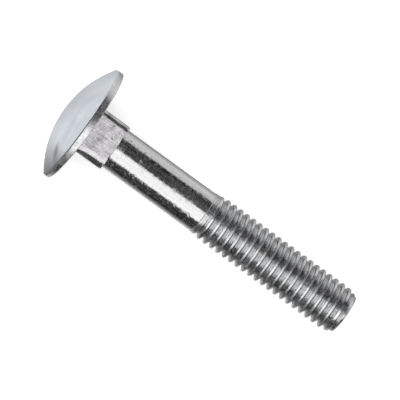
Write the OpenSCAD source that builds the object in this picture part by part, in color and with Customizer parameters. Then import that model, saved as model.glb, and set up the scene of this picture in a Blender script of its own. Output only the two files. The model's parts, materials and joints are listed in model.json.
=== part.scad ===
// Carriage bolt M8 x 50: a shallow domed head, a square neck, a plain shank and a rolled thread.
// The bolt is one piece of steel. It is drawn along +Z with the bearing face of its head at z = 0,
// and is then laid down as it comes to rest, on the rim of its head and the last full crest of its
// thread. All sizes are in millimetres.

/* [Head] */
// Diameter of the head
head_d = 20.2; // [17:0.1:23]
// Height of the head, from the bearing face to the top of the dome
head_h = 4.2; // [3.4:0.1:6]
// Height of the rim, from the bearing face to the edge of the dome
rim_h = 0.95; // [0.7:0.05:1.4]
// Rounding of the edge between the rim and the dome
dome_edge_r = 0.3; // [0.1:0.05:0.4]
// Rounding of the edge between the rim and the bearing face
seat_edge_r = 0.2; // [0.1:0.05:0.4]

/* [Square neck] */
// Width of the neck across its flats
neck_w = 8.1; // [7.5:0.1:10]
// Length of the neck, from the bearing face to its end
neck_l = 5.6; // [4:0.1:8]
// Rounding of the four long edges of the neck
neck_edge_r = 0.95; // [0.4:0.05:1.6]
// Diameter across the corners at the end of the neck, where a cone trims them
neck_end_d = 9.6; // [8.6:0.1:12]
// Angle of that cone to the axis
neck_end_angle = 50; // [30:1:70]

/* [Shank] */
// Diameter of the plain shank, which is rolled down from the blank
shank_d = 7.1; // [6.6:0.1:7.4]
// Length of the bolt, from the bearing face to the end of the point
bolt_l = 50.9; // [45:0.1:120]

/* [Thread] */
// Diameter over the crests of the thread
thread_d = 7.9; // [7.6:0.05:8.4]
// Distance from one crest to the next
thread_pitch = 1.25; // [1:0.05:1.5]
// Length of the thread, from its first trace on the shank to the end of the point
thread_l = 28.1; // [20:0.1:34]
// Length over which the crest rises to its full height
crest_runout_l = 2.4; // [1.2:0.1:4]
// Length over which the groove sinks to its full depth
groove_runout_l = 1.3; // [0.8:0.1:3]
// Length of the rounded point past the last full crest
point_l = 2.2; // [1.5:0.1:3]
// Diameter of the flat end of the point
point_d = 5.8; // [5:0.1:6.4]

/* [Hidden] */
$fn = 128;

// Head: the dome is part of a sphere that passes through the edge of the rim
head_r = head_d / 2;
dome_rise = head_h - rim_h;
dome_r = (head_r ^ 2 + dome_rise ^ 2) / (2 * dome_rise);
dome_centre = [0, dome_r - head_h];
// Centre of the rounding that touches both the dome and the rim
dome_edge_x = head_r - dome_edge_r;
dome_edge_centre = [
    dome_edge_x,
    dome_centre.y - sqrt((dome_r - dome_edge_r) ^ 2 - dome_edge_x ^ 2)
];
dome_edge_start = dome_centre + (dome_edge_centre - dome_centre) * dome_r / (dome_r - dome_edge_r);
// Centre of the rounding that touches both the rim and the bearing face
seat_edge_centre = [head_r - seat_edge_r, -seat_edge_r];

// Thread: 60 degree flanks, a crest flat of an eighth of the pitch, and a root as deep as
// 17/24 of the height of the sharp triangle
flank_angle = 30;
crest_flat = thread_pitch / 8;
thread_depth = thread_pitch * cos(flank_angle) * 17 / 24;
root_flat = thread_pitch - crest_flat - 2 * thread_depth * tan(flank_angle);
crest_r = thread_d / 2;
root_r = crest_r - thread_depth;
// The thread starts a hair under the surface of the shank, and its core reaches into the shank
start_step = 0.03;
start_r = shank_d / 2 - start_step;
core_reach = 0.5;
thread_z = bolt_l - thread_l;
core_z = thread_z - core_reach;
// The point is rounded off along an arc that leaves the last full crest straight on
point_z = bolt_l - point_l;
point_drop = crest_r - point_d / 2;
point_arc_r = (point_l ^ 2 + point_drop ^ 2) / (2 * point_drop);
// The last full crest meets the floor with the far edge of its flat
last_crest_z = point_z - crest_flat / 2;

// Rows of points in each pitch: both edges of the crest, then both edges of the root
row_z = [crest_flat, thread_pitch - root_flat, thread_pitch + root_flat, 2 * thread_pitch - crest_flat] / 2;
row_r = [crest_r, root_r, root_r, crest_r];
row_runout = [crest_runout_l, groove_runout_l, groove_runout_l, crest_runout_l];
rows = len(row_z);
// Flat sides that stand for the round of the thread
sides = 40;
// The helix runs on past both ends of the core by more than a turn, so that every side reaches them
first_turn = floor((core_z - last_crest_z) / thread_pitch) - 2;
turns = ceil((bolt_l - last_crest_z) / thread_pitch) - first_turn + 1;

// Rest: the bolt lies on the rounded edge of its rim and on its last full crest
rest_run = point_z + seat_edge_r;
rest_drop = seat_edge_centre.x - crest_r;
rest_tilt = atan2(rest_drop, rest_run) + asin(seat_edge_r / norm([rest_run, rest_drop]));
seat_height = seat_edge_centre.x * cos(rest_tilt) + seat_edge_r * (1 - sin(rest_tilt));
// Ends of the resting bolt along the floor, from the middle of the bearing face
dome_end = dome_centre.y * cos(rest_tilt) - dome_r;
point_end = bolt_l * cos(rest_tilt) + point_d / 2 * sin(rest_tilt);

// Radius that the blank has at height z: straight, then rounded off at the point
function blank_r(z) = z < point_z
    ? crest_r
    : crest_r - point_arc_r + sqrt(point_arc_r ^ 2 - (z - point_z) ^ 2);

// How far a run-out of the given length has come at height z, from 0 to 1
function grown(z, runout) = max(0, min(1, (z - thread_z) / runout));

// Height of a point of the thread, held between the two ends of its core
function point_height(side, row) =
    let (helix_z = last_crest_z + row_z[row % rows]
        + thread_pitch * (first_turn + floor(row / rows) + side / sides))
    max(core_z, min(bolt_l, helix_z));

// Radius of a point of the thread, which grows from the shank and ends in the point
function point_radius(z, row) =
    let (r = start_r + (row_r[row % rows] - start_r) * grown(z, row_runout[row % rows]))
    min(r, blank_r(z));

function thread_point(side, row) =
    let (z = point_height(side, row), r = point_radius(z, row), angle = 360 * side / sides)
    [r * cos(angle), r * sin(angle), z];

// What is left of a rounded edge's corner once its rounding is in place
module edge_trim(from, corner, to, centre, r) {
    difference() {
        polygon([from, corner, to]);
        translate(centre) circle(r);
    }
}

// Domed head, with its bearing face at z = 0 and its dome below it
module head() {
    rotate_extrude() difference() {
        intersection() {
            translate(dome_centre) circle(dome_r, $fn = 360);
            translate([0, -head_h]) square([head_r, head_h]);
        }
        edge_trim(dome_edge_start, [head_r + dome_edge_r, -rim_h - dome_edge_r],
            [head_r, dome_edge_centre.y], dome_edge_centre, dome_edge_r);
        edge_trim([head_r, -seat_edge_r], [head_r + seat_edge_r, seat_edge_r],
            [head_r - seat_edge_r, 0], seat_edge_centre, seat_edge_r);
    }
}

// Square neck with rounded edges, its corners trimmed by a cone where the shank begins
module neck() {
    inner_w = neck_w - 2 * neck_edge_r;
    cone_grow = neck_l * tan(neck_end_angle);
    intersection() {
        linear_extrude(neck_l) {
            square([neck_w, inner_w], center = true);
            square([inner_w, neck_w], center = true);
            for (x = [-1, 1], y = [-1, 1])
                translate([x, y] * inner_w / 2) circle(neck_edge_r);
        }
        cylinder(h = neck_l, r1 = neck_end_d / 2 + cone_grow, r2 = neck_end_d / 2);
    }
}

// Plain shank, up to the first trace of the thread
module shank() {
    cylinder(h = thread_z, d = shank_d);
}

// Threaded core: a right-hand helical skin over a grid of sides and rows, closed by two flat ends.
// One row higher by a whole turn meets the first side again, which closes the skin round the core.
module thread() {
    columns = rows * (turns + 1);
    skin = [for (side = [0:sides - 1], row = [0:columns - 1]) thread_point(side, row)];
    function at(side, row) = side < sides ? side * columns + row : row + rows;
    last = columns - rows - 1;
    grid = [for (side = [0:sides - 1], row = [0:last - 1])
        each [
            [at(side, row), at(side + 1, row + 1), at(side + 1, row)],
            [at(side, row), at(side, row + 1), at(side + 1, row + 1)]
        ]];
    // Triangles that an end has folded flat are left out
    flanks = [for (t = grid)
        if (skin[t[0]] != skin[t[1]] && skin[t[1]] != skin[t[2]] && skin[t[2]] != skin[t[0]]) t];
    foot = [for (side = [0:sides - 1]) at(side, 0)];
    end = [for (side = [sides - 1:-1:0]) at(side, last)];
    polyhedron(skin, concat(flanks, [foot, end]));
}

// The whole bolt, laid down with its length along +X and the floor at z = 0
module carriage_bolt() {
    color("silver")
    translate([-(dome_end + point_end) / 2, 0, seat_height])
    rotate([0, 90 + rest_tilt, 0]) {
        head();
        neck();
        shank();
        thread();
    }
}

carriage_bolt();
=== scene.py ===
"""A bright zinc-plated M8 carriage bolt, lying on its head and the tip of its thread."""
import json
import math

import bpy
import numpy as np
from mathutils import Matrix, Vector, noise


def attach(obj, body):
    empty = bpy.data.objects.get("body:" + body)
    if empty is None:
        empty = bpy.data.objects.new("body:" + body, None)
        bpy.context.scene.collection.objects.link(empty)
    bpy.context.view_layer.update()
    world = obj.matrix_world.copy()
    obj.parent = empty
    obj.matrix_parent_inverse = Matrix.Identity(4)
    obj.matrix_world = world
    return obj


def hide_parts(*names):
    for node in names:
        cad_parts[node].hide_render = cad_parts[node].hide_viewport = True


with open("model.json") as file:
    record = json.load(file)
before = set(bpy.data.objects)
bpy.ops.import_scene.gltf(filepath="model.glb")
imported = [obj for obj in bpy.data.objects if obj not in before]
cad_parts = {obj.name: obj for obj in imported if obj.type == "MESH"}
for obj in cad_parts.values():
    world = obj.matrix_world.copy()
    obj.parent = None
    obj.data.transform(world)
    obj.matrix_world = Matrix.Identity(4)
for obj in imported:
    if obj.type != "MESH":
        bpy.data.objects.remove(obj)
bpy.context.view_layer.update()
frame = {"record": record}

# The head, upset in a die from the same steel wire as the rest of the bolt: part of a sphere over a
# thin upright rim, flat below, with rounded edges. It sits a little off the axis, and its rim is a
# little higher on the +Y side. The bolt is modelled along +Z, with this bearing face at z = 0.
mm = 0.001
hair = 0.0005 * mm
bolt_sides = 144
head_radius = 10.1 * mm
head_height = 4.27 * mm
rim_height = 1.05 * mm
rim_slope = 0.014
rim_off_axis = 0.15 * mm
dome_rings = 120
dome_edge = 0.3 * mm
dome_edge_steps = 5
seat_edge = 0.15 * mm
seat_edge_steps = 4
dome_rise = head_height - rim_height
dome_radius = (head_radius**2 + dome_rise**2) / (2 * dome_rise)
dome_off_axis = rim_off_axis + (dome_radius - dome_rise) * rim_slope


def select_edges(bolt_part, wanted):
    """Selects the edges of a part in edit mode whose two ends wanted() accepts."""
    bpy.ops.mesh.select_mode(type="EDGE")
    bpy.ops.mesh.select_all(action="DESELECT")
    bpy.ops.object.mode_set(mode="OBJECT")
    points = [vertex.co for vertex in bolt_part.data.vertices]
    for edge in bolt_part.data.edges:
        edge.select = wanted([points[i] for i in edge.vertices])
    bpy.ops.object.mode_set(mode="EDIT")


def is_dome_edge(ends):
    """Whether an edge lies between the dome and the rim."""
    return all(abs(p.z + rim_height + p.y * rim_slope) < hair for p in ends)


def is_seat_edge(ends):
    """Whether an edge lies round the bearing face."""
    return all(abs(p.z) < hair for p in ends)


bpy.ops.object.select_all(action="DESELECT")
bpy.ops.mesh.primitive_uv_sphere_add(
    segments=bolt_sides,
    ring_count=dome_rings,
    radius=dome_radius,
    location=(0, dome_off_axis, dome_radius - head_height),
)
head = bpy.context.object
bpy.ops.object.transform_apply(location=True)
bpy.ops.object.mode_set(mode="EDIT")
bpy.ops.mesh.select_all(action="SELECT")
bpy.ops.mesh.bisect(
    plane_co=(0, 0, -rim_height),
    plane_no=(0, rim_slope, 1),
    clear_outer=True,
    threshold=hair,
)
select_edges(head, is_dome_edge)
bpy.ops.mesh.extrude_region_move(TRANSFORM_OT_translate={"value": (0, 0, rim_height)})
bpy.ops.transform.resize(value=(1, 1, 0), center_override=(0, 0, 0))
bpy.ops.mesh.edge_face_add()
select_edges(head, is_dome_edge)
bpy.ops.mesh.bevel(offset=dome_edge, segments=dome_edge_steps, affect="EDGES")
select_edges(head, is_seat_edge)
bpy.ops.mesh.bevel(offset=seat_edge, segments=seat_edge_steps, affect="EDGES")
bpy.ops.object.mode_set(mode="OBJECT")

# The square neck, pressed into the blank under the head. Three of its long edges are well rounded.
# The fourth, which faces the camera, wasn't quite filled by the steel, so it thins out towards the
# shank. There the neck has slumped unevenly, and its upper face is dented and sunk on one side.
neck_width = 8.1 * mm
neck_length = 5.6 * mm
neck_sink = 0.3 * mm
neck_rings = 20
neck_columns = 15
neck_edge = 0.95 * mm
thin_edge = 0.4 * mm
neck_edge_steps = 12
thin_edge_reach = 5.62 * mm
thin_edge_loss = 0.57 * mm
thin_edge_taper = 2.2 * mm
taper_bend = 0.6
slump_length = 1.4 * mm
slump_radius = 3.8 * mm
slump_inward = 0.10 * mm
slump_inward_spread = 0.14 * mm
slump_back = 0.14 * mm
slump_back_spread = 0.16 * mm
lump_size = 1.1 * mm
grain_size = 0.45 * mm
dents_start = 3 * mm
dents_rise = 2 * mm
dent_size = 0.9 * mm
dent_depth = 0.08 * mm
sunk_side = 2.4 * mm
sunk_depth = 0.14 * mm


def held(share):
    """A share held between 0 and 1."""
    return min(max(share, 0), 1)


def is_long_edge(ends, thin):
    """Whether an edge runs along the neck, and is the thin one or one of the other three."""
    runs_along = abs(ends[0].z - ends[1].z) > 0.5 * neck_length
    return runs_along and (ends[0].x < 0 and ends[0].y < 0) == thin


bpy.ops.object.select_all(action="DESELECT")
bpy.ops.mesh.primitive_cube_add(size=1, location=(0, 0, (neck_length - neck_sink) / 2))
neck = bpy.context.object
neck.scale = (neck_width, neck_width, neck_length + neck_sink)
bpy.ops.object.transform_apply(location=True, scale=True)
bpy.ops.object.mode_set(mode="EDIT")
for thin, offset in ((False, neck_edge), (True, thin_edge)):
    select_edges(neck, lambda ends: is_long_edge(ends, thin))
    bpy.ops.mesh.bevel(offset=offset, segments=neck_edge_steps, affect="EDGES")
for axis, start, end, cuts in (
    ((0, 0, 1), -neck_sink, neck_length, neck_rings),
    ((1, 0, 0), -neck_width / 2, neck_width / 2, neck_columns),
    ((0, 1, 0), -neck_width / 2, neck_width / 2, neck_columns),
):
    for place in np.linspace(start, end, cuts + 1)[1:-1]:
        bpy.ops.mesh.select_all(action="SELECT")
        bpy.ops.mesh.bisect(plane_co=Vector(axis) * place, plane_no=axis, threshold=hair)
bpy.ops.object.mode_set(mode="OBJECT")
for vertex in neck.data.vertices:
    spot = vertex.co
    radius = math.hypot(spot.x, spot.y)
    # The unfilled edge
    if spot.x < 0 and spot.y < 0:
        thinned = held(spot.z / thin_edge_taper) ** taper_bend
        limit = thin_edge_reach - thin_edge_loss * thinned
        if radius > limit:
            spot.x *= limit / radius
            spot.y *= limit / radius
    # The slumped end
    slump = held(1 - (neck_length - spot.z) / slump_length)
    unevenness = noise.noise(spot / lump_size) + 0.5 * noise.noise(spot / grain_size)
    if radius > slump_radius:
        inward = slump**3 * (slump_inward + slump_inward_spread * unevenness)
        spot.x *= 1 - inward / radius
        spot.y *= 1 - inward / radius
        spot.z += slump**2 * (slump_back_spread * unevenness - slump_back)
    # The dented upper face, which sinks towards the unfilled edge
    if spot.x < 0:
        near_shank = held((spot.z - dents_start) / dents_rise)
        sunk = sunk_depth * held((sunk_side - spot.y) / (2 * sunk_side))
        dented = dent_depth * noise.noise(spot / dent_size)
        spot.x += near_shank * (sunk + dented)

# The shank, the plain part of the blank. Where the thread begins, the dies have pushed up three
# little lips round it, given here as (height, rise over the shank).
shank_radius = 3.55 * mm
lips = [
    (23.10 * mm, 0),
    (23.19 * mm, 0.12 * mm),
    (23.24 * mm, 0.12 * mm),
    (23.33 * mm, -0.04 * mm),
    (23.39 * mm, -0.04 * mm),
    (23.48 * mm, 0.13 * mm),
    (23.53 * mm, 0.13 * mm),
    (23.62 * mm, -0.04 * mm),
    (23.68 * mm, -0.04 * mm),
    (23.77 * mm, 0.14 * mm),
    (23.82 * mm, 0.14 * mm),
    (23.92 * mm, -0.05 * mm),
    (24.02 * mm, -0.15 * mm),
]

bpy.ops.object.select_all(action="DESELECT")
bpy.ops.mesh.primitive_circle_add(vertices=bolt_sides, radius=shank_radius, fill_type="NGON")
shank = bpy.context.object
bpy.ops.object.mode_set(mode="EDIT")
bpy.ops.mesh.select_all(action="SELECT")
for (height, rise), (next_height, next_rise) in zip([(0, 0), *lips], lips):
    growth = (shank_radius + next_rise) / (shank_radius + rise)
    step = (0, 0, next_height - height)
    bpy.ops.mesh.extrude_region_move(TRANSFORM_OT_translate={"value": step})
    bpy.ops.transform.resize(value=(growth, growth, 1))
bpy.ops.mesh.select_all(action="SELECT")
bpy.ops.mesh.normals_make_consistent(inside=False)
bpy.ops.object.mode_set(mode="OBJECT")

# The thread, rolled into the blank between two dies: a right-hand helix with round crests and
# roots. One pitch of its outline is drawn with a vertex that is extruded from crest to crest, and
# is then screwed along the bolt. It fades out on the shank and is cut by the rounded point.
bolt_length = 50.9 * mm
pitch = 1.25 * mm
crest_radius = 3.95 * mm
flank_angle = math.radians(60)
crest_flat = 0.16 * mm
crest_round = 0.16 * mm
crest_steps = 6
root_round = 0.06 * mm
root_steps = 3
flank_shares = (0.38, 0.8)
crest_shift = 0.3 * mm
thread_start = 22.8 * mm
core_reach = 0.5 * mm
core_start = thread_start - core_reach
start_radius = shank_radius - 0.03 * mm
crest_runout = 2.4 * mm
groove_start = 23.1 * mm
groove_runout = 1 * mm
point_length = 2.2 * mm
point_radius = 3.2 * mm
point_start = bolt_length - point_length
point_drop = crest_radius - point_radius
point_arc = (point_length**2 + point_drop**2) / (2 * point_drop)

# Half of a pitch, from the middle of a crest to the bottom of a root, as (height, radius)
crest_arc = [
    (
        crest_flat / 2 + crest_round * math.sin(angle),
        crest_radius - crest_round * (1 - math.cos(angle)),
    )
    for angle in np.linspace(0, flank_angle, crest_steps)
]
rounds_height = (crest_round + root_round) * math.sin(flank_angle)
flank_depth = ((pitch - crest_flat) / 2 - rounds_height) * math.tan(flank_angle)
root_radius = crest_arc[-1][1] - flank_depth - root_round * (1 - math.cos(flank_angle))
root_arc = [
    (
        pitch / 2 - root_round * math.sin(angle),
        root_radius + root_round * (1 - math.cos(angle)),
    )
    for angle in np.linspace(flank_angle, 0, root_steps)
]
upper_flank, lower_flank = [
    tuple(np.array(crest_arc[-1]) * (1 - share) + np.array(root_arc[0]) * share)
    for share in flank_shares
]
falling = [(0, crest_radius), *crest_arc, upper_flank, lower_flank, *root_arc]
rising = [(pitch - height, radius) for height, radius in falling[-2::-1]]
outline = falling + rising
turns_below = math.ceil((point_start - core_start) / pitch) + 2
turns = turns_below + math.ceil(point_length / pitch) + 1
helix_start = point_start - crest_flat / 2 + crest_shift - turns_below * pitch

bpy.ops.object.select_all(action="DESELECT")
bpy.ops.mesh.primitive_plane_add(size=mm, location=(0, 0, 0))
thread = bpy.context.object
bpy.ops.object.mode_set(mode="EDIT")
bpy.ops.mesh.select_mode(type="VERT")
bpy.ops.mesh.select_all(action="SELECT")
bpy.ops.mesh.merge(type="CENTER")
bpy.ops.transform.translate(value=(outline[0][1], 0, helix_start))
for (height, radius), (next_height, next_radius) in zip(outline, outline[1:]):
    step = (next_radius - radius, 0, next_height - height)
    bpy.ops.mesh.extrude_region_move(TRANSFORM_OT_translate={"value": step})
bpy.ops.object.mode_set(mode="OBJECT")
screw = thread.modifiers.new("rolling", "SCREW")
screw.axis = "Z"
screw.screw_offset = pitch
screw.iterations = turns
screw.steps = bolt_sides
screw.render_steps = bolt_sides
bpy.ops.object.modifier_apply(modifier="rolling")
bpy.ops.object.mode_set(mode="EDIT")
bpy.ops.mesh.select_all(action="SELECT")
bpy.ops.mesh.remove_doubles(threshold=hair)
bpy.ops.mesh.bisect(
    plane_co=(0, 0, core_start),
    plane_no=(0, 0, 1),
    clear_inner=True,
    use_fill=True,
    threshold=hair,
)
bpy.ops.mesh.select_all(action="SELECT")
bpy.ops.mesh.bisect(
    plane_co=(0, 0, bolt_length),
    plane_no=(0, 0, 1),
    clear_outer=True,
    use_fill=True,
    threshold=hair,
)
bpy.ops.mesh.select_all(action="SELECT")
bpy.ops.mesh.normals_make_consistent(inside=False)
bpy.ops.object.mode_set(mode="OBJECT")
for vertex in thread.data.vertices:
    spot = vertex.co
    radius = math.hypot(spot.x, spot.y)
    if radius > start_radius:
        grown = held((spot.z - thread_start) / crest_runout)
    else:
        grown = held((spot.z - groove_start) / groove_runout)
    shaped = start_radius + (radius - start_radius) * grown
    if spot.z > point_start:
        cut = math.sqrt(point_arc**2 - (spot.z - point_start) ** 2)
        shaped = min(shaped, crest_radius - point_arc + cut)
    spot.x *= shaped / radius
    spot.y *= shaped / radius

# Head, neck, shank and thread are one piece of steel, so they are fused into one closed skin, and
# the slivers that the cuts leave in it are cleared.
bpy.ops.object.select_all(action="DESELECT")
head.select_set(True)
bpy.context.view_layer.objects.active = head
for part in (neck, shank, thread):
    fuse = head.modifiers.new("fuse", "BOOLEAN")
    fuse.operation = "UNION"
    fuse.solver = "EXACT"
    fuse.object = part
    bpy.ops.object.modifier_apply(modifier="fuse")
    bpy.data.objects.remove(part, do_unlink=True)
bpy.ops.object.mode_set(mode="EDIT")
bpy.ops.mesh.select_all(action="SELECT")
bpy.ops.mesh.dissolve_degenerate(threshold=hair)
bpy.ops.mesh.select_all(action="SELECT")
bpy.ops.mesh.delete_loose()
bpy.ops.object.mode_set(mode="OBJECT")
bolt = head
bolt.name = "zinc_plated_bolt"
bpy.ops.object.shade_smooth_by_angle(angle=math.radians(35))

# The bright zinc, plated on all over: smooth and a little cloudy on the head, shank and thread, and
# lined along the bolt on the neck, where the die drew the steel. Small nicks come from the barrel
# that the bolts are plated in. The lines follow the axis of the bolt, as the frame has it at rest.
seat = next(m for m in frame["record"]["mounts"] if m["name"] == "head_seat")
seat_centre = Vector(seat["pos_m"])
bolt_axis = Vector(seat["axis"]).normalized()
rest_tilt = math.asin(-bolt_axis.z)
cloud_size = 1.5 * mm
pit_size = 0.45 * mm
nick_size = 0.9 * mm
streak_stretch = 0.08
crest_band = 0.06 * mm


def node_math(tree, operation, *values):
    """A sum in a node tree, on sockets or plain numbers."""
    node = tree.nodes.new("ShaderNodeMath")
    node.operation = operation
    for socket, value in zip(node.inputs, values):
        if isinstance(value, (int, float)):
            socket.default_value = value
        else:
            tree.links.new(value, socket)
    return node.outputs["Value"]


def node_range(tree, value, start, end, low, high):
    """A value mapped from start..end to low..high and held there beyond both ends."""
    node = tree.nodes.new("ShaderNodeMapRange")
    tree.links.new(value, node.inputs["Value"])
    node.inputs["From Min"].default_value = start
    node.inputs["From Max"].default_value = end
    node.inputs["To Min"].default_value = low
    node.inputs["To Max"].default_value = high
    return node.outputs["Result"]


def node_noise(tree, place, size, detail):
    """Noise in lumps of the given size at the given place."""
    node = tree.nodes.new("ShaderNodeTexNoise")
    tree.links.new(place, node.inputs["Vector"])
    node.inputs["Scale"].default_value = 1 / size
    node.inputs["Detail"].default_value = detail
    return node.outputs["Fac"]


def node_bump(tree, height, microns, normal):
    """Raises or sinks the surface by up to a depth in micrometres, over an earlier bump if any."""
    node = tree.nodes.new("ShaderNodeBump")
    node.inputs["Strength"].default_value = 1
    node.inputs["Distance"].default_value = microns * mm / 1000
    tree.links.new(height, node.inputs["Height"])
    if normal:
        tree.links.new(normal, node.inputs["Normal"])
    return node.outputs["Normal"]


def zinc_plate(name, colour, clouding, roughness, pitting, nicks, waves, speckle, streaks):
    """Bright zinc with the given depth of nicks and (size, depth) of waves, speckle and streaks."""
    material = bpy.data.materials.new(name)
    material.use_nodes = True
    tree = material.node_tree
    shader = tree.nodes["Principled BSDF"]
    shader.inputs["Metallic"].default_value = 1
    place = tree.nodes.new("ShaderNodeTexCoord")
    turned = tree.nodes.new("ShaderNodeMapping")
    turned.inputs["Rotation"].default_value = (0, -rest_tilt, 0)
    tree.links.new(place.outputs["Object"], turned.inputs["Vector"])
    on_bolt = turned.outputs["Vector"]
    # The surface
    normal = None
    for (size, depth), stretch in ((waves, 1), (speckle, 1), (streaks, streak_stretch)):
        squeezed = tree.nodes.new("ShaderNodeMapping")
        squeezed.inputs["Scale"].default_value = (stretch, 1, 1)
        tree.links.new(on_bolt, squeezed.inputs["Vector"])
        height = node_noise(tree, squeezed.outputs["Vector"], size * mm, 2)
        normal = node_bump(tree, height, depth, normal)
    nicked = node_range(tree, node_noise(tree, on_bolt, nick_size, 1), 0.72, 0.78, 1, 0)
    normal = node_bump(tree, nicked, nicks, normal)
    tree.links.new(normal, shader.inputs["Normal"])
    # The colour
    clouds = node_noise(tree, on_bolt, cloud_size, 5)
    shaded = tree.nodes.new("ShaderNodeVectorMath")
    shaded.operation = "SCALE"
    shaded.inputs[0].default_value = colour
    shade = node_range(tree, clouds, 0.35, 0.65, 1 - clouding, 1 + clouding)
    tree.links.new(shade, shaded.inputs["Scale"])
    tree.links.new(shaded.outputs["Vector"], shader.inputs["Base Color"])
    # The gloss
    clouded = node_range(tree, clouds, 0.3, 0.7, roughness * 0.6, roughness * 1.4)
    pits = node_noise(tree, on_bolt, pit_size, 3)
    pitted = node_range(tree, pits, 0.48, 0.68, 0, pitting)
    tree.links.new(node_math(tree, "ADD", clouded, pitted), shader.inputs["Roughness"])
    return material


# Colour, clouding, roughness and pitting of the plating, the depth of its nicks in micrometres, then
# the size in millimetres and the depth in micrometres of its waves, its speckle and its streaks. The
# flanks that face the point are made far darker than their plating is: painted shade, which draws
# dark lines in the grooves. The roots are made darker than their plating too, with painted shade.
plating = {
    "dome": ((0.765, 0.785, 0.82), 0, 0.16, 0, 0, (3, 8), (0.4, 2), (0.3, 0)),
    "rim": ((0.82, 0.82, 0.83), 0.1, 0.25, 0.26, 30, (1.5, 20), (0.4, 20), (0.3, 0)),
    "neck": ((0.645, 0.625, 0.645), 0.26, 0.2, 0.2, 30, (1.5, 24), (0.25, 12), (0.2, 20)),
    "shank": ((0.77, 0.77, 0.775), 0, 0.09, 0.28, 30, (2.5, 20), (0.45, 18), (0.35, 10)),
    "thread": ((0.81, 0.815, 0.825), 0.06, 0.2, 0.2, 30, (1.5, 20), (0.45, 20), (0.4, 0)),
    # painted shade: far darker than the zinc, to draw dark lines in the grooves
    "painted_shade_flank": ((0.12, 0.12, 0.13), 0, 0.2, 0.3, 30, (1.5, 20), (0.45, 30), (0.4, 0)),
    "crest": ((0.84, 0.84, 0.85), 0, 0.34, 0.2, 30, (1.5, 20), (0.45, 30), (0.4, 0)),
    # painted shade: darker than the zinc in the bottoms of the grooves
    "root": ((0.66, 0.665, 0.675), 0.1, 0.25, 0.2, 30, (1.5, 20), (0.45, 20), (0.4, 0)),
}


def feature_at(spot, normal):
    """The feature that a face belongs to. Only the flanks that face the point get the painted shade.
    """
    radius = math.hypot(spot.x, spot.y)
    if spot.z < -rim_height - spot.y * rim_slope:
        return "dome"
    if spot.z < 2 * hair:
        return "rim"
    if spot.z < neck_length + 2 * hair:
        return "neck"
    if spot.z < groove_start:
        return "shank"
    if radius > crest_radius - crest_band:
        return "crest"
    # The flanks that face the point take painted shade
    if radius > upper_flank[1] and normal.z > 0.5:
        return "painted_shade_flank"
    # The roots take painted shade
    if radius < lower_flank[1]:
        return "root"
    return "thread"


bolt.data.materials.clear()
for feature, finish in plating.items():
    bolt.data.materials.append(zinc_plate("zinc_on_" + feature, *finish))
features = list(plating)
for face in bolt.data.polygons:
    face.material_index = features.index(feature_at(face.center, face.normal))

# Laid down with the bearing face where the frame has it
bolt.matrix_world = Matrix.Translation(seat_centre) @ Matrix.Rotation(
    math.pi / 2 + rest_tilt, 4, "Y"
)
bpy.ops.object.select_all(action="DESELECT")
bolt.select_set(True)
bpy.context.view_layer.objects.active = bolt
bpy.ops.object.transform_apply(location=True, rotation=True, scale=True)
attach(bolt, "root")
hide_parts("carriage_bolt")

# The bolt lies on a plain white table, under one broad lamp that leaves only a faint shadow. The
# plating doesn't reflect the table or the lamp, because the room below stands for both.
table_size = 8
table_white = 0.9
table_glow = 0.4
lamp_size = 2.4
lamp_height = 1.2
lamp_brightness = 2.2

bpy.ops.object.select_all(action="DESELECT")
bpy.ops.mesh.primitive_plane_add(size=table_size, location=(0, 0, 0))
table = bpy.context.object
table.name = "white_table"
paper = bpy.data.materials.new("white_table")
paper.use_nodes = True
matt = paper.node_tree.nodes["Principled BSDF"]
matt.inputs["Base Color"].default_value = (table_white, table_white, table_white, 1)
matt.inputs["Roughness"].default_value = 0.9
matt.inputs["Specular IOR Level"].default_value = 0
matt.inputs["Emission Color"].default_value = (1, 1, 1, 1)
matt.inputs["Emission Strength"].default_value = table_glow
table.data.materials.append(paper)
table.visible_glossy = False

bpy.ops.object.light_add(type="AREA", location=(0, 0, lamp_height))
lamp = bpy.context.object
lamp.name = "table_lamp"
lamp.data.size = lamp_size
lamp.data.energy = lamp_brightness * math.pi * lamp_size**2
lamp.visible_glossy = False
lamp.visible_camera = False

# A bright card lies before the head and fills the dome with an even light, a little smeared. It is
# dimmer close to the head and in one small fold, and on one side it fades out along a slanting line,
# which makes the low end of the dome dark. Only the plating sees it.
card_edge = -24.5 * mm
card_size = 600 * mm
card_lift = 0.1 * mm
smear_size = 14 * mm
fold_place = (-42 * mm, -13.5 * mm)
slant = math.radians(23)
slant_side = 15 * mm
slant_start = 8.5 * mm
card_brightness = 0.85

bpy.ops.object.select_all(action="DESELECT")
bpy.ops.mesh.primitive_plane_add(size=card_size, location=(card_edge - card_size / 2, 0, card_lift))
card = bpy.context.object
card.name = "bright_card"
glow = bpy.data.materials.new("bright_card")
glow.use_nodes = True
glow_tree = glow.node_tree
emitter = glow_tree.nodes["Principled BSDF"]
emitter.inputs["Base Color"].default_value = (0, 0, 0, 1)
emitter.inputs["Emission Color"].default_value = (0.96, 0.98, 1, 1)
on_card = glow_tree.nodes.new("ShaderNodeTexCoord").outputs["Object"]
card_place = glow_tree.nodes.new("ShaderNodeSeparateXYZ")
glow_tree.links.new(on_card, card_place.inputs["Vector"])
from_edge = node_math(glow_tree, "SUBTRACT", card_size / 2, card_place.outputs["X"])
near_head = node_range(glow_tree, from_edge, 3 * mm, 22 * mm, 0.72, 1)
side_at_edge = slant_side - slant_start * math.tan(slant)
widened = node_math(glow_tree, "MULTIPLY_ADD", from_edge, math.tan(slant), side_at_edge)
across = node_math(glow_tree, "ADD", card_place.outputs["Y"], widened)
from_side = node_math(glow_tree, "MULTIPLY", across, math.cos(slant))
beside = node_range(glow_tree, from_side, -2 * mm, 8 * mm, 0.18, 1)
smears = node_noise(glow_tree, on_card, smear_size, 2)
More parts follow.
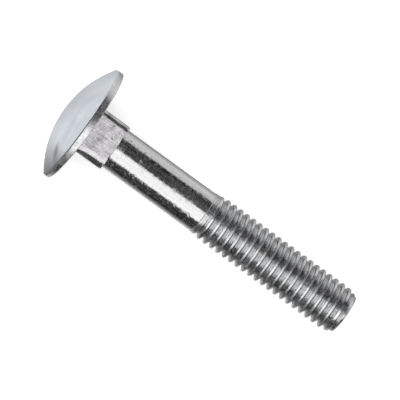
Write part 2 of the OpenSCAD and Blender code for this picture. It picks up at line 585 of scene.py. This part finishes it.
smeared = node_range(glow_tree, smears, 0.35, 0.65, 0.85, 1.1)
fold = glow_tree.nodes.new("ShaderNodeVectorMath")
fold.operation = "DISTANCE"
fold.inputs[1].default_value = (fold_place[0] - card.location.x, fold_place[1], 0)
glow_tree.links.new(on_card, fold.inputs[0])
folded = node_range(glow_tree, fold.outputs["Value"], 1.5 * mm, 4.5 * mm, 0.45, 1)
brightness = near_head
for factor in (beside, smeared, folded, card_brightness):
    brightness = node_math(glow_tree, "MULTIPLY", brightness, factor)
glow_tree.links.new(brightness, emitter.inputs["Emission Strength"])
card.data.materials.append(glow)
card.visible_camera = False
card.visible_diffuse = False
card.visible_shadow = False

# The room, as the plating reflects it: a softbox hangs over the bolt, dark room lies beside that, the
# table is pale beyond, and small things glint all round. Brightness goes by the angle in degrees,
# round the bolt from straight above towards +Y, or along it from its middle towards the point.
around = [
    (-180, 0.46),
    (-150, 0.46),
    (-138, 0.35),
    (-127, 0.18),
    (-117, 0.04),
    (-106, 0.01),
    (-88, 0.015),
    (-72, 0.05),
    (3, 0.04),
    (18, 0.06),
    (35, 0.03),
    (55, 0.01),
    (67, 0.03),
    (75, 0.54),
    (95, 0.67),
    (115, 0.66),
    (125, 0.46),
    (140, 0.30),
    (155, 0.27),
    (180, 0.36),
]
along = [(-60, 0.3), (-35, 1.0)]
softbox_around = [(-58.5, 0.0), (-54.5, 1.12), (-0.5, 1.06), (6.5, 0.0)]
softbox_along = [(-56, 0.0), (-46, 1.0)]
glint_size = 1 / 9
glint_brightness = 0.4

world = bpy.data.worlds.new("room")
bpy.context.scene.world = world
world.use_nodes = True
world.cycles_visibility.diffuse = False
room = world.node_tree


def room_ramp(angle, half_turn, stops):
    """Brightness over an angle in radians, from stops of (degrees, brightness)."""
    share = node_math(room, "MULTIPLY_ADD", angle, 0.5 / math.radians(half_turn), 0.5)
    ramp = room.nodes.new("ShaderNodeValToRGB")
    ramp.color_ramp.interpolation = "LINEAR"
    room.links.new(share, ramp.inputs["Fac"])
    points = ramp.color_ramp.elements
    points.remove(points[1])
    for i, (degrees, brightness) in enumerate(stops):
        place = 0.5 + 0.5 * degrees / half_turn
        point = points[0] if i == 0 else points.new(place)
        point.position = place
        point.color = (brightness, brightness, brightness, 1)
    return ramp.outputs["Color"]


def room_light(around_stops, along_stops):
    """Brightness by the angles round and along the bolt, both together."""
    round_bolt = room_ramp(angle_around, 180, around_stops)
    return node_math(room, "MULTIPLY", round_bolt, room_ramp(angle_along, 90, along_stops))


direction = room.nodes.new("ShaderNodeTexCoord").outputs["Generated"]
direction_parts = room.nodes.new("ShaderNodeSeparateXYZ")
room.links.new(direction, direction_parts.inputs["Vector"])
x, y, z = direction_parts.outputs
angle_around = node_math(room, "ARCTAN2", y, z)
angle_along = node_math(room, "ARCSINE", x)
softbox = room_light(softbox_around, softbox_along)
sides = room_light(around, along)
clutter = node_noise(room, direction, glint_size, 3)
glints = node_range(room, clutter, 0.52, 0.75, 0, glint_brightness)
brightness = node_math(room, "ADD", node_math(room, "ADD", sides, softbox), glints)
reflected = room.nodes["Background"]
reflected.inputs["Color"].default_value = (1, 1, 1, 1)
room.links.new(brightness, reflected.inputs["Strength"])
# The camera sees plain white behind the table
pale = room.nodes.new("ShaderNodeBackground")
pale.inputs["Color"].default_value = (1, 1, 1, 1)
seen = room.nodes.new("ShaderNodeLightPath")
either = room.nodes.new("ShaderNodeMixShader")
room.links.new(seen.outputs["Is Camera Ray"], either.inputs["Fac"])
room.links.new(reflected.outputs["Background"], either.inputs[1])
room.links.new(pale.outputs["Background"], either.inputs[2])
room.links.new(either.outputs["Shader"], room.nodes["World Output"].inputs["Surface"])

# The camera looks straight down from far away, turned so that the bolt lies 36 degrees off level
camera_height = 3
camera_turn = math.radians(36)
view_width = 63.2 * mm
view_centre = (-1.86 * mm, 1.28 * mm)
focus_height = 7 * mm
film_width = 36
bpy.ops.object.camera_add(location=(*view_centre, camera_height), rotation=(0, 0, camera_turn))
camera = bpy.context.object
camera.data.sensor_width = film_width
camera.data.lens = film_width * (camera_height - focus_height) / view_width
camera.data.clip_start = 0.01
bpy.context.scene.camera = camera
bpy.context.scene.view_settings.view_transform = "Standard"
